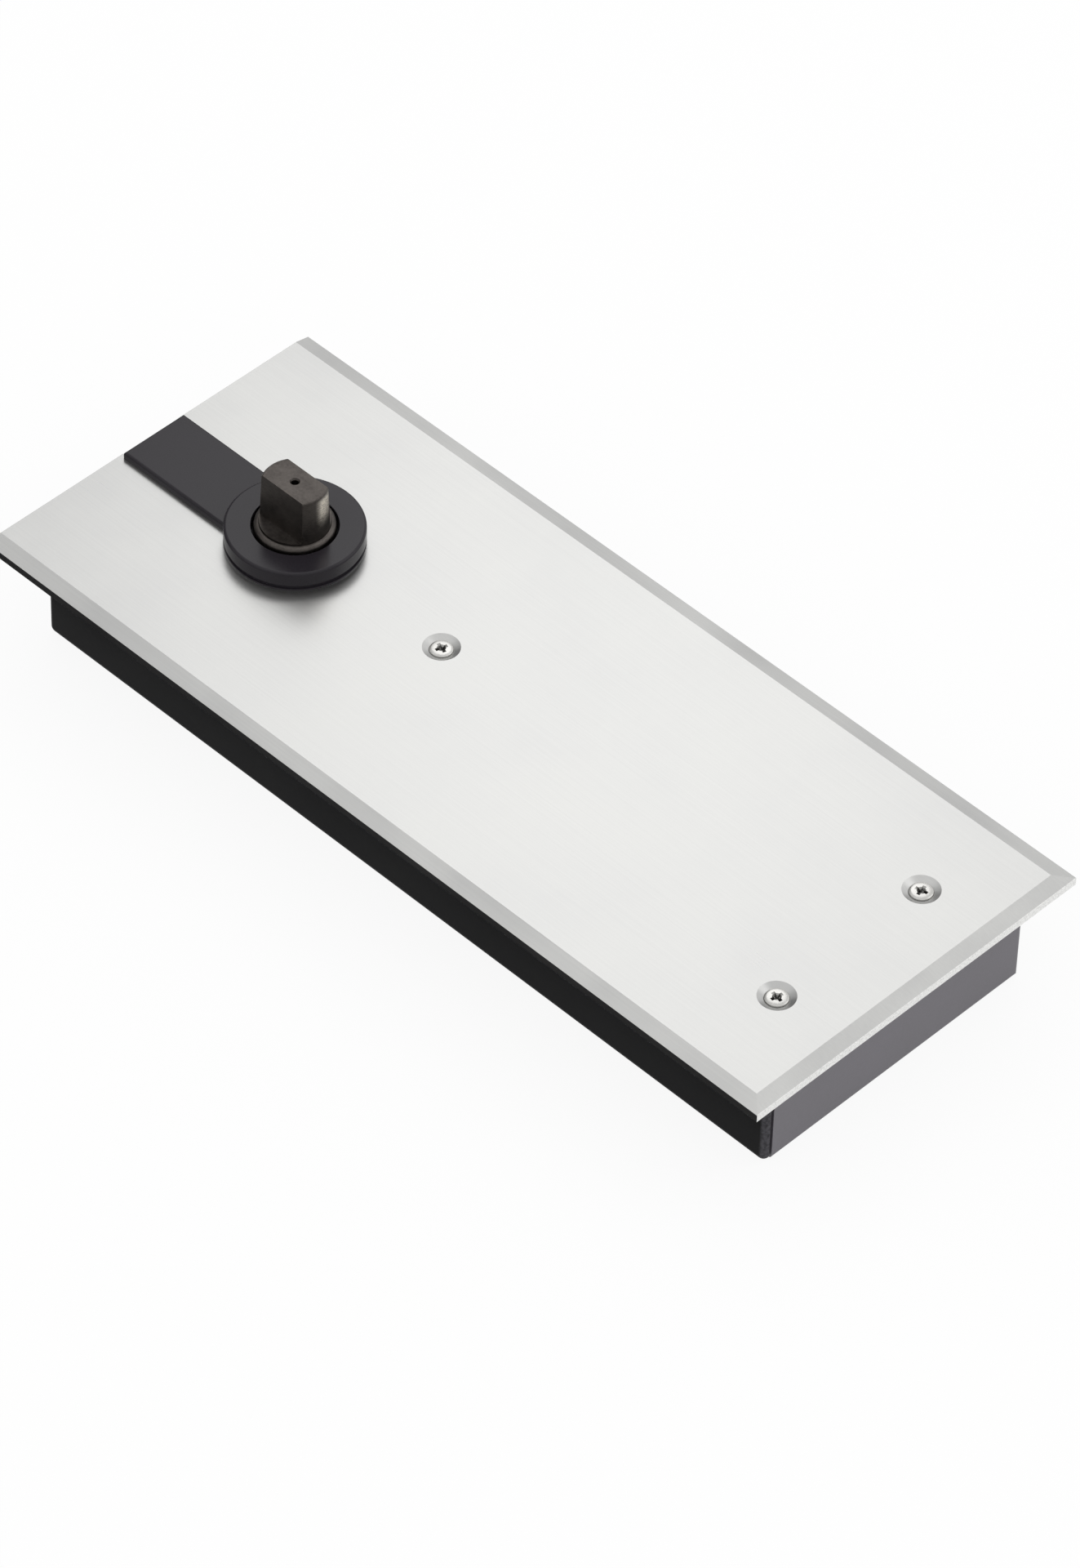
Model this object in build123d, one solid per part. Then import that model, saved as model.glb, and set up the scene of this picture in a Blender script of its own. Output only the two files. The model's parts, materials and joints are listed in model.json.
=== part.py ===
from build123d import *
import math
import os

# Frame: origin on the spindle axis at the underside of the cover plate, X along the plate, Z up

# Cover plate
PLATE_LENGTH = 385.0
PLATE_WIDTH = 160.0
PLATE_THICKNESS = 4.5
BEVEL_WIDTH = 6.3
BEVEL_DROP = 1.3
SLOT_WIDTH = 27.0
FRONT_SCREW_X = 75.4
REAR_SCREW_FROM_END = 32.8
REAR_SCREW_Y = 36.2

# Cover screws
SCREW_R = 2.5
SCREW_HEAD_R = 4.4
SCREW_DOME = 0.8
SCREW_LENGTH = 11.0
DIMPLE_R = 7.0
DIMPLE_DEPTH = 1.2
RECESS_WIDTH = 1.4
RECESS_SPAN = 5.2
RECESS_DEPTH = 1.8
RECESS_TURN_DEG = -16.0

# Slot filler
STRAP_LAP = 1.5
STRAP_RISE = 3.0
STRAP_SETBACK = 2.0
STRAP_EDGE_R = 1.0
DISC_LAP = 2.55
DISC_RISE = 8.3
DISC_EDGE_R = 1.1
DISC_GAP = 1.0
DISC_LIP = 0.7
DISC_GROOVE = 1.8
DISC_GROOVE_DEPTH = 0.8
DISC_TOP_WALL = 3.3
SPIGOT_WALL = 2.1

# Cement box
BOX_SHEET = 2.0
BOX_LEFT_INSET = 14.1
BOX_RIGHT_INSET = 9.4
BOX_CORNER_R = 2.4
BOX_FOOT_R = 3.0
BOX_ROOM = 1.5
FLOOR_GAP = 0.5
RETURN_FLANGE = 2.6
END_EDGE_R = 1.8
SEAM = 1.3
LAP_SHEET = 1.2

# Cover bracket
BRACKET_SHEET = 3.0
BRACKET_LENGTH = 29.0
BRACKET_LEG = 17.0
BRACKET_LEG_SHEET = 2.0
BRACKET_BOSS_R = 5.0
BRACKET_BOSS_DROP = 6.0

# Closer housing
SPRING_BORE_R = 11.8
PISTON_BORE_R = 13.0
BORE_WALL = 7.2
BARREL_WALL = 4.6
BARREL_COVER = 0.1
CHAMBER_SIDE = 8.0
CHAMBER_HEAD = 12.0
CHAMBER_ROOM = 1.42
CHAMBER_R = 8.0
FLOOR_WALL = 4.5
HOUSING_WALL = 9.0
HOUSING_R = 10.0
END_WALL = 10.0
HOUSING_START_ROOM = 3.7
HOUSING_END_ROOM = 41.1
WEB_HALF_HEIGHT = 11.0
END_FLANGE = 12.0
FLANGE_PROUD = 0.6
RIB_THICKNESS = 5.0
RIB_FROM_WALL = 34.0
RIB_PITCH = 46.0
LUG_FROM_START = 25.5
LUG_FROM_END = 36.0
LUG_LENGTH = 36.0
LUG_ROOM = 6.4
LUG_EDGE = 5.6
LUG_HEIGHT = 10.0
LUG_R = 4.0
CHANNEL_R = 1.5

# Lid, gasket and lid screws
GASKET = 0.6
LID_DROP = 3.0
LID_THICKNESS = 5.4
LID_CHAMFER = 1.0
LID_BOSS_WALL = 4.5
LID_BOSS_TOP = 3.4
LID_SCREW_BOSS_R = 8.0
LID_SCREW_R = 2.0
LID_SCREW_HEAD_R = 3.4
LID_SCREW_GRIP = 8.0
LID_SCREW_CORNER = 11.5
HEX_SOCKET = 2.5
HEX_DEPTH = 1.6

# Spindle, bearings and seal
SPINDLE_R = 10.0
JOURNAL_R = 5.0
LOWER_BEARING_WALL = 6.0
LOWER_BEARING_HEIGHT = 6.0
LOWER_BOSS_WALL = 5.0
LOWER_BOSS_FLOOR = 3.5
UPPER_BEARING_WALL = 6.0
BEARING_STEP = 0.4
SEAL_WALL = 5.0
SEAL_HEIGHT = 5.0
SHOULDER = 3.1
SHOULDER_GAP = 0.6
COLLAR_WALL = 1.9
COLLAR_HEIGHT = 6.0
COLLAR_PROUD = 1.7
HEAD_TAPER = 0.7
HEAD_HEIGHT = 19.5
HEAD_CHAMFER = 0.5
FLAT_BASE = 7.1
FLAT_TOP = 6.35
FLAT_RISE = 0.8
CENTRE_HOLE_R = 1.4
CENTRE_HOLE_DEPTH = 5.0

# Heart cam, rollers and carriage
PITCH_R = 22.0
HALF_TURN_LIFT = 15.08
SWING_DEG = 130.0
ROLLER_R = 7.5
CAM_THICKNESS = 9.0
PUSH_PLATE = 3.0
PUSH_PLATE_RAIL = 5.5
PUSH_PLATE_R = 8.0
PIN_R = 3.5
KEY_WIDTH = 4.0
KEY_DEPTH = 2.0
CROSSHEAD_GAP = 20.5
CROSSHEAD_LENGTH = 12.0
CROSSHEAD_SIDE = 2.0
CROSSHEAD_END_ROOM = 15.1
CROSSHEAD_R = 3.0
RIVET_R = 2.5
RIVET_HEAD_R = 4.0
RIVET_HEAD = 1.2
RIVET_Y = 10.0

# Damper and springs
ROD_R = 5.0
ROD_TENON_R = 3.2
ROD_SOCKET = 8.0
PISTON_GAP = 2.0
PISTON_LENGTH = 24.0
RING_WIDTH = 3.0
RING_DEPTH = 1.8
BALL_R = 3.0
BALL_ROOM = 1.2
VALVE_SEAT_R = 1.8
RETAINER = 3.0
FOLLOWER_LENGTH = 6.0
SPRING_ROOM = 0.6
SPRING_WIRE = 4.0
SPRING_COILS = 9.5
PLUG_LENGTH = 12.0
PLUG_FLANGE = 4.0
PLUG_FLANGE_LAP = 1.8
PLUG_WASHER = 1.0
PLUG_SOCKET = 6.0
NEEDLE_R = 3.0
NEEDLE_FROM_END = 58.0
NEEDLE_DROP = 4.0
NEEDLE_TIP = 3.0
NEEDLE_BOSS_WALL = 3.0
NEEDLE_SLOT = 1.0

# Levelling screws, studs, washers and nuts
LEVEL_R = 4.0
LEVEL_PROUD = 8.5
LEVEL_SLOT = 1.4
STUD_R = 3.0
STUD_PROUD = 4.3
STUD_OFFSET = 9.0
WASHER = 1.2
WASHER_R = 5.6
NUT_HEIGHT = 5.0
NUT_FLATS = 9.0

# Clearances
RUN_FIT = 0.05
SIDE_FIT = 0.3
LOOSE_FIT = 0.5
THREAD_FIT = 0.05

# Radii round the spindle, from the shaft outwards
UPPER_BEARING_R = SPINDLE_R + UPPER_BEARING_WALL
LOWER_BEARING_R = JOURNAL_R + LOWER_BEARING_WALL
LOWER_BOSS_R = LOWER_BEARING_R + LOWER_BOSS_WALL
SEAL_R = SPINDLE_R + SEAL_WALL
LID_BOSS_R = UPPER_BEARING_R + LID_BOSS_WALL
SPIGOT_R = LID_BOSS_R + LOOSE_FIT + SPIGOT_WALL
PLATE_HOLE_R = SPIGOT_R + SIDE_FIT
DISC_R = PLATE_HOLE_R + DISC_LAP
HEAD_BASE_R = SPINDLE_R + SHOULDER
HEAD_TOP_R = HEAD_BASE_R - HEAD_TAPER
COLLAR_R = HEAD_BASE_R + COLLAR_WALL
DISC_HOLE_R = COLLAR_R + DISC_GAP
STRAP_HALF = SLOT_WIDTH / 2 + STRAP_LAP

# Cam and carriage
LIFT_PER_RAD = HALF_TURN_LIFT / math.pi
TRAVEL = LIFT_PER_RAD * math.radians(SWING_DEG)
REAR_PITCH_R = PITCH_R + HALF_TURN_LIFT
PLATE_IN = CAM_THICKNESS / 2 + SIDE_FIT
PLATE_OUT = PLATE_IN + PUSH_PLATE
PUSH_PLATE_HALF = SPINDLE_R + LOOSE_FIT + PUSH_PLATE_RAIL
CROSSHEAD_X = PITCH_R + ROLLER_R + CROSSHEAD_GAP
CROSSHEAD_X1 = CROSSHEAD_X + CROSSHEAD_LENGTH
RIVET_X = CROSSHEAD_X + CROSSHEAD_LENGTH / 2

# Widths, from the bores outwards
SPRING_Y = PISTON_BORE_R + BORE_WALL + SPRING_BORE_R
CHANNEL_Y = PISTON_BORE_R + BORE_WALL / 2
BARREL_R = SPRING_BORE_R + BARREL_WALL
CHAMBER_HALF = SPRING_Y + CHAMBER_SIDE
CROSSHEAD_HALF = CHAMBER_HALF - CROSSHEAD_SIDE
HOUSING_HALF = CHAMBER_HALF + HOUSING_WALL
FLANGE_HALF = SPRING_Y + BARREL_R + FLANGE_PROUD
LEVEL_Y = max(HOUSING_HALF, FLANGE_HALF) + LUG_ROOM
LUG_OUT = LEVEL_Y + LUG_EDGE
BOX_HALF = LUG_OUT + BOX_ROOM + BOX_SHEET
HALF_W = PLATE_WIDTH / 2

# Lengths, from the cam outwards
CHAMBER_X0 = -REAR_PITCH_R - PUSH_PLATE_R - CHAMBER_ROOM
CHAMBER_X1 = CROSSHEAD_X1 + TRAVEL + CROSSHEAD_END_ROOM
HOUSING_X0 = CHAMBER_X0 - HOUSING_WALL
HOUSING_X1 = CHAMBER_X1 + END_WALL
BOX_X0 = HOUSING_X0 - HOUSING_START_ROOM - LAP_SHEET - BOX_SHEET
X_LEFT = BOX_X0 - BOX_LEFT_INSET
X_RIGHT = X_LEFT + PLATE_LENGTH
BOX_X1 = X_RIGHT - BOX_RIGHT_INSET
HOUSING_END = BOX_X1 - HOUSING_END_ROOM
LID_X1 = HOUSING_X1 - LOOSE_FIT
PISTON_X0 = HOUSING_X1 + PISTON_GAP
SPRING_X0 = PISTON_X0 + FOLLOWER_LENGTH
SPRING_X1 = HOUSING_END - PLUG_LENGTH
NEEDLE_X = HOUSING_END - NEEDLE_FROM_END
RIB_XS = (HOUSING_X1 + RIB_FROM_WALL, HOUSING_X1 + RIB_FROM_WALL + RIB_PITCH)
LUG_XS = (HOUSING_X0 + LUG_FROM_START, HOUSING_END - LUG_FROM_END)
STUD_XS = [x + STUD_OFFSET for x in LUG_XS]
LEVEL_XS = [x - STUD_OFFSET for x in LUG_XS]

# Heights, from the plate downwards and upwards
LID_TOP = -LID_DROP
LID_BOTTOM = LID_TOP - LID_THICKNESS
HOUSING_TOP = LID_BOTTOM - GASKET
AXIS_Z = HOUSING_TOP - CHAMBER_HEAD
CAM_Z0 = AXIS_Z - CAM_THICKNESS / 2
HOUSING_BOTTOM = AXIS_Z - BARREL_R - BARREL_COVER
CHAMBER_FLOOR = HOUSING_BOTTOM + FLOOR_WALL
LOWER_BEARING_TOP = AXIS_Z - PLATE_OUT - LOOSE_FIT
LOWER_BEARING_BOTTOM = LOWER_BEARING_TOP - LOWER_BEARING_HEIGHT
LOWER_BOSS_BOTTOM = LOWER_BEARING_BOTTOM - LOWER_BOSS_FLOOR
BOX_FLOOR = min(HOUSING_BOTTOM, LOWER_BOSS_BOTTOM) - FLOOR_GAP
BOX_BOTTOM = BOX_FLOOR - BOX_SHEET
SEAL_BOTTOM = LID_BOSS_TOP - SEAL_HEIGHT
UPPER_BEARING_TOP = SEAL_BOTTOM - BEARING_STEP
SHOULDER_BOTTOM = LID_BOSS_TOP + SHOULDER_GAP
DISC_TOP = PLATE_THICKNESS + DISC_RISE
COLLAR_TOP = DISC_TOP + COLLAR_PROUD
COLLAR_BOTTOM = COLLAR_TOP - COLLAR_HEIGHT
HEAD_TOP = COLLAR_TOP + HEAD_HEIGHT
FLAT_START = COLLAR_TOP + FLAT_RISE
LUG_TOP = HOUSING_BOTTOM + LUG_HEIGHT
LEVEL_TOP = LUG_TOP + LEVEL_PROUD
STUD_TOP = LUG_TOP + WASHER + NUT_HEIGHT + STUD_PROUD
NEEDLE_TOP = -NEEDLE_DROP

# Screw places and seats
COVER_SCREWS = [
    (FRONT_SCREW_X, 0.0),
    (X_RIGHT - REAR_SCREW_FROM_END, REAR_SCREW_Y),
    (X_RIGHT - REAR_SCREW_FROM_END, -REAR_SCREW_Y),
]
HEAD_Z = PLATE_THICKNESS - DIMPLE_DEPTH
CONE_FOOT = HEAD_Z - (SCREW_HEAD_R - SCREW_R)
LID_SCREW_HEAD = LID_SCREW_HEAD_R - LID_SCREW_R
LID_SCREW_END = HOUSING_TOP - LID_SCREW_GRIP
LID_SCREW_X = (HOUSING_X0 + LID_SCREW_CORNER, LID_X1 - LID_SCREW_CORNER)
LID_SCREW_Y = HOUSING_HALF - HOUSING_WALL / 2
LID_SCREWS = [(x, s * LID_SCREW_Y) for x in (*LID_SCREW_X, sum(LID_SCREW_X) / 2) for s in (-1, 1)]
LID_SCREWS += [(HOUSING_X0 + HOUSING_WALL / 2, 0.0)]
LID_SCREWS += [(HOUSING_X1 - END_WALL / 2, s * SPRING_Y / 2) for s in (-1, 1)]
SPRING_OUT_R = SPRING_BORE_R - SPRING_ROOM
VALVE_BORE_R = BALL_R + BALL_ROOM
PLUG_FLANGE_R = PISTON_BORE_R + PLUG_FLANGE_LAP
NEEDLE_BOSS_R = NEEDLE_R + NEEDLE_BOSS_WALL


def block(x0, x1, y0, y1, z0, z1):
    return Pos((x0 + x1) / 2, (y0 + y1) / 2, (z0 + z1) / 2) * Box(x1 - x0, y1 - y0, z1 - z0)


def drum(radius, z0, z1, x=0.0, y=0.0):
    return Pos(x, y, (z0 + z1) / 2) * Cylinder(radius, z1 - z0)


def taper(r0, r1, z0, z1, x=0.0, y=0.0):
    return Pos(x, y, (z0 + z1) / 2) * Cone(r0, r1, z1 - z0)


def bar(radius, x0, x1, y=0.0, z=AXIS_Z):
    return Pos((x0 + x1) / 2, y, z) * (Rot(0, 90, 0) * Cylinder(radius, x1 - x0))


def cross_bar(radius, y0, y1, x, z=AXIS_Z):
    return Pos(x, (y0 + y1) / 2, z) * (Rot(90, 0, 0) * Cylinder(radius, y1 - y0))


def slab(x0, x1, half, z0, z1, radius):
    outline = RectangleRounded(x1 - x0, 2 * half, radius)
    return Pos((x0 + x1) / 2, 0, z0) * extrude(outline, z1 - z0)


def hex_bar(flats, z0, z1, x=0.0, y=0.0):
    outline = RegularPolygon(flats / 2, 6, major_radius=False)
    return Pos(x, y, z0) * extrude(outline, z1 - z0)


# Bevelled plate with keyhole slot and dimpled screw holes
def cover_plate():
    rim = PLATE_THICKNESS - BEVEL_DROP
    middle = (X_LEFT + X_RIGHT) / 2
    body = block(X_LEFT, X_RIGHT, -HALF_W, HALF_W, 0, rim)
    low = Pos(middle, 0, rim) * Rectangle(PLATE_LENGTH, PLATE_WIDTH)
    high = Pos(middle - BEVEL_WIDTH / 2, 0, PLATE_THICKNESS) * Rectangle(
        PLATE_LENGTH - BEVEL_WIDTH, PLATE_WIDTH - 2 * BEVEL_WIDTH)
    body += loft([low.face(), high.face()], ruled=True)
    body -= drum(PLATE_HOLE_R, 0, PLATE_THICKNESS)
    body -= block(X_LEFT, 0, -SLOT_WIDTH / 2, SLOT_WIDTH / 2, 0, PLATE_THICKNESS)
    for x, y in COVER_SCREWS:
        body -= drum(SCREW_R + LOOSE_FIT, 0, PLATE_THICKNESS, x, y)
        body -= taper(SCREW_R, SCREW_HEAD_R, CONE_FOOT, HEAD_Z, x, y)
        body -= taper(SCREW_HEAD_R, DIMPLE_R, HEAD_Z, PLATE_THICKNESS, x, y)
    return body


# Raised countersunk screw with a cross recess
def cover_screw(x, y):
    body = drum(SCREW_R, HEAD_Z - SCREW_LENGTH, CONE_FOOT, x, y)
    body += taper(SCREW_R, SCREW_HEAD_R, CONE_FOOT, HEAD_Z, x, y)
    dome_r = (SCREW_HEAD_R ** 2 + SCREW_DOME ** 2) / (2 * SCREW_DOME)
    crest = HEAD_Z + SCREW_DOME
    body += drum(SCREW_HEAD_R, HEAD_Z, crest, x, y) & (Pos(x, y, crest - dome_r) * Sphere(dome_r))
    for angle in (0, 90):
        arm = Box(RECESS_SPAN, RECESS_WIDTH, 2 * RECESS_DEPTH)
        body -= Pos(x, y, crest) * (Rot(0, 0, angle + RECESS_TURN_DEG) * arm)
    return body


# Keyhole-shaped filler: strap, tongue in the slot and raised disc
def slot_filler():
    top = PLATE_THICKNESS + STRAP_RISE
    strap = block(X_LEFT + STRAP_SETBACK, 0, -STRAP_HALF, STRAP_HALF, PLATE_THICKNESS, top)
    strap = fillet(strap.faces().sort_by(Axis.Z)[-1].edges(), STRAP_EDGE_R)
    tongue_half = SLOT_WIDTH / 2 - SIDE_FIT
    tongue = block(X_LEFT + STRAP_SETBACK, 0, -tongue_half, tongue_half, 0, PLATE_THICKNESS)
    disc = drum(DISC_R, PLATE_THICKNESS, DISC_TOP)
    disc = fillet(disc.edges().group_by(Axis.Z)[-1], DISC_EDGE_R)
    lip = PLATE_THICKNESS + DISC_LIP
    disc -= ring(DISC_R - DISC_GROOVE_DEPTH, DISC_R, lip, lip + DISC_GROOVE)
    body = strap + tongue + disc + drum(SPIGOT_R, 0, PLATE_THICKNESS)
    body -= drum(SPIGOT_R - SPIGOT_WALL, 0, DISC_TOP - DISC_TOP_WALL)
    body -= drum(DISC_HOLE_R, 0, DISC_TOP)
    return body


# Folded box shell, open at the ends
def cement_box():
    body = slab(BOX_X0, BOX_X1, BOX_HALF, BOX_BOTTOM, 0, BOX_CORNER_R)
    body = fillet(body.faces().sort_by(Axis.Z)[0].edges(), BOX_FOOT_R)
    body -= slab(BOX_X0 + BOX_SHEET, BOX_X1 - BOX_SHEET, BOX_HALF - BOX_SHEET, BOX_FLOOR, 0,
                 BOX_CORNER_R - BOX_SHEET)
    near = RETURN_FLANGE - BOX_HALF
    body -= block(BOX_X0, BOX_X0 + BOX_SHEET, near, BOX_HALF, BOX_BOTTOM, 0)
    body -= block(BOX_X1 - BOX_SHEET, BOX_X1, near, BOX_HALF, BOX_BOTTOM, 0)
    return body


# End panel: seam at the near return flange, closed over the far wall, with a lap plate between the walls
def box_end(outer, inward):
    near = RETURN_FLANGE + SEAM - BOX_HALF
    inner = outer + inward * BOX_SHEET
    back = inner + inward * LAP_SHEET
    body = block(min(outer, inner), max(outer, inner), near, BOX_HALF, BOX_BOTTOM, 0)
    face = body.faces().sort_by(Axis.X)[-1 if inward < 0 else 0]
    rounded = [face.edges().sort_by(Axis.Z)[0], face.edges().sort_by(Axis.Y)[-1]]
    body = fillet(rounded, END_EDGE_R)
    wide = BOX_HALF - BOX_SHEET - LOOSE_FIT
    return body + block(min(inner, back), max(inner, back), -wide, wide, BOX_FLOOR, 0)


# Bracket across the box with two tapped bosses
def cover_bracket():
    x = COVER_SCREWS[1][0]
    half = BOX_HALF - BOX_SHEET
    body = block(x - BRACKET_LENGTH / 2, x + BRACKET_LENGTH / 2, -half, half, -BRACKET_SHEET, 0)
    for side in (-1, 1):
        leg = block(x - BRACKET_LEG / 2, x + BRACKET_LEG / 2, half - BRACKET_LEG_SHEET, half,
                    BOX_FLOOR, -BRACKET_SHEET)
        body += leg if side > 0 else mirror(leg, Plane.XZ)
        body += drum(BRACKET_BOSS_R, -BRACKET_SHEET - BRACKET_BOSS_DROP, -BRACKET_SHEET, x,
                     side * REAR_SCREW_Y)
    for side in (-1, 1):
        body -= drum(SCREW_R + THREAD_FIT, -BRACKET_SHEET - BRACKET_BOSS_DROP, 0, x,
                     side * REAR_SCREW_Y)
    return body


# Iron casting: cam chamber, three barrels, web, ribs, lugs, bores and oil channels
def closer_housing():
    body = slab(HOUSING_X0, HOUSING_X1, HOUSING_HALF, HOUSING_BOTTOM, HOUSING_TOP, HOUSING_R)
    for y in (-SPRING_Y, 0, SPRING_Y):
        body += bar(BARREL_R, HOUSING_X1, HOUSING_END, y)
    web_z = (AXIS_Z - WEB_HALF_HEIGHT, AXIS_Z + WEB_HALF_HEIGHT)
    body += block(CHAMBER_X1, HOUSING_END, -SPRING_Y, SPRING_Y, *web_z)
    body += block(HOUSING_END - END_FLANGE, HOUSING_END, -FLANGE_HALF, FLANGE_HALF, *web_z)
    for x in RIB_XS:
        body += block(x, x + RIB_THICKNESS, -FLANGE_HALF, FLANGE_HALF, HOUSING_BOTTOM, web_z[1])
    for x in LUG_XS:
        foot = slab(-LUG_LENGTH / 2, LUG_LENGTH / 2, LUG_OUT, HOUSING_BOTTOM, LUG_TOP, LUG_R)
        body += Pos(x, 0, 0) * foot
    for side in (-1, 1):
        body += drum(NEEDLE_BOSS_R, AXIS_Z, NEEDLE_TOP - LOOSE_FIT, NEEDLE_X, side * CHANNEL_Y)
    body += drum(LOWER_BOSS_R, LOWER_BOSS_BOTTOM, HOUSING_BOTTOM)
    body -= slab(CHAMBER_X0, CHAMBER_X1, CHAMBER_HALF, CHAMBER_FLOOR, HOUSING_TOP, CHAMBER_R)
    body += drum(LOWER_BOSS_R, CHAMBER_FLOOR, LOWER_BEARING_TOP)
    body -= drum(LOWER_BEARING_R, LOWER_BEARING_BOTTOM, LOWER_BEARING_TOP)
    for y in (-SPRING_Y, 0, SPRING_Y):
        bore = SPRING_BORE_R if y else PISTON_BORE_R
        body -= bar(bore, HOUSING_X1, HOUSING_END, y)
        body -= bar(ROD_R + RUN_FIT, CHAMBER_X1 - CHAMBER_R, HOUSING_X1, y)
    for x, y in LID_SCREWS:
        body -= drum(LID_SCREW_R + THREAD_FIT, LID_SCREW_END, HOUSING_TOP, x, y)
    for side in (-1, 1):
        for x in LEVEL_XS:
            body -= drum(LEVEL_R + THREAD_FIT, HOUSING_BOTTOM, LUG_TOP, x, side * LEVEL_Y)
        for x in STUD_XS:
            body -= drum(STUD_R + LOOSE_FIT, HOUSING_BOTTOM, LUG_TOP, x, side * LEVEL_Y)
        y = side * CHANNEL_Y
        body -= drum(NEEDLE_R + RUN_FIT, AXIS_Z, NEEDLE_TOP, NEEDLE_X, y)
        port_x = HOUSING_X1 + 2 * CHANNEL_R
        body -= bar(CHANNEL_R, port_x, NEEDLE_X, y)
        for x in (port_x, NEEDLE_X):
            body -= cross_bar(CHANNEL_R, min(y, 0), max(y, 0), x)
    return body


# Lid with bearing boss, seal pocket and cover screw boss
def housing_lid():
    body = slab(HOUSING_X0, LID_X1, HOUSING_HALF, LID_BOTTOM, LID_TOP, HOUSING_R)
    body = chamfer(body.faces().sort_by(Axis.Z)[-1].edges(), LID_CHAMFER)
    body += drum(LID_BOSS_R, LID_TOP, LID_BOSS_TOP)
    x, y = COVER_SCREWS[0]
    body += drum(LID_SCREW_BOSS_R, LID_TOP, 0, x, y)
    body -= drum(SCREW_R + THREAD_FIT, HEAD_Z - SCREW_LENGTH, 0, x, y)
    body -= drum(UPPER_BEARING_R, LID_BOTTOM, UPPER_BEARING_TOP)
    body -= drum(SEAL_R, SEAL_BOTTOM, LID_BOSS_TOP)
    body -= drum(SPINDLE_R + LOOSE_FIT, LID_BOTTOM, LID_BOSS_TOP)
    for x, y in LID_SCREWS:
        body -= drum(LID_SCREW_R + THREAD_FIT, LID_BOTTOM, LID_TOP, x, y)
        body -= taper(LID_SCREW_R, LID_SCREW_HEAD_R, LID_TOP - LID_SCREW_HEAD, LID_TOP, x, y)
    return body


# Gasket under the lid
def lid_gasket():
    body = slab(HOUSING_X0, LID_X1, HOUSING_HALF, HOUSING_TOP, LID_BOTTOM, HOUSING_R)
    body -= slab(CHAMBER_X0, CHAMBER_X1, CHAMBER_HALF, HOUSING_TOP, LID_BOTTOM, CHAMBER_R)
    for x, y in LID_SCREWS:
        body -= drum(LID_SCREW_R + THREAD_FIT, HOUSING_TOP, LID_BOTTOM, x, y)
    return body


# Countersunk socket screw of the lid
def lid_screw(x, y):
    body = drum(LID_SCREW_R, LID_SCREW_END, LID_TOP - LID_SCREW_HEAD, x, y)
    body += taper(LID_SCREW_R, LID_SCREW_HEAD_R, LID_TOP - LID_SCREW_HEAD, LID_TOP, x, y)
    return body - hex_bar(HEX_SOCKET, LID_TOP - HEX_DEPTH, LID_TOP, x, y)


# Plain ring between two radii
def ring(inner, outer, z0, z1):
    return drum(outer, z0, z1) - drum(inner, z0, z1)


# Spindle with journal, shoulder, tapered head, flats and keyway
def spindle():
    body = drum(JOURNAL_R, LOWER_BEARING_BOTTOM + LOOSE_FIT, LOWER_BEARING_TOP)
    body += drum(SPINDLE_R, LOWER_BEARING_TOP, SHOULDER_BOTTOM)
    body += drum(HEAD_BASE_R, SHOULDER_BOTTOM, COLLAR_TOP)
    head = taper(HEAD_BASE_R, HEAD_TOP_R, COLLAR_TOP, HEAD_TOP)
    body += chamfer(head.edges().sort_by(Axis.Z)[-1], HEAD_CHAMFER)
    reach = 2 * HEAD_BASE_R
    side = Plane.YZ * Polygon((FLAT_BASE, FLAT_START), (reach, FLAT_START), (reach, HEAD_TOP),
                              (FLAT_TOP, HEAD_TOP), align=None)
    cut = Pos(-reach, 0, 0) * extrude(side, 2 * reach, dir=(1, 0, 0))
    body -= cut
    body -= mirror(cut, Plane.XZ)
    body -= drum(CENTRE_HOLE_R, HEAD_TOP - CENTRE_HOLE_DEPTH, HEAD_TOP)
    return body - cam_key()


# Key between spindle and cam
def cam_key():
    return block(-SPINDLE_R - KEY_DEPTH, -SPINDLE_R + KEY_DEPTH, -KEY_WIDTH / 2, KEY_WIDTH / 2,
                 CAM_Z0, CAM_Z0 + CAM_THICKNESS)


# Point on the cam flank: the roller's spiral path moved in by roller radius and side clearance
def flank(angle):
    rho = PITCH_R + LIFT_PER_RAD * angle
    length = math.hypot(rho, LIFT_PER_RAD)
    off = (ROLLER_R + SIDE_FIT) / length
    c, s = math.cos(angle), math.sin(angle)
    x = rho * c - off * (LIFT_PER_RAD * s + rho * c)
    y = rho * s - off * (rho * s - LIFT_PER_RAD * c)
    return x, y


# Angle at which the flank reaches the centre line behind the spindle
def tip_angle():
    low, high = math.pi / 2, math.pi
    for _ in range(60):
        mid = (low + high) / 2
        if flank(mid)[1] > 0:
            low = mid
        else:
            high = mid
    return low


# Heart cam with a nest for the front roller
def heart_cam():
    end = tip_angle()
    upper = [flank(end * i / 24) for i in range(24)] + [(flank(end)[0], 0.0)]
    lower = [(x, -y) for x, y in reversed(upper)]
    nest = (PITCH_R - ROLLER_R - SIDE_FIT, 0.0)
    outline = Spline(*upper) + Spline(*lower) + ThreePointArc(lower[-1], nest, upper[0])
    body = Pos(0, 0, CAM_Z0) * extrude(make_face(outline), CAM_THICKNESS)
    return body - drum(SPINDLE_R, CAM_Z0, CAM_Z0 + CAM_THICKNESS) - cam_key()


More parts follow.
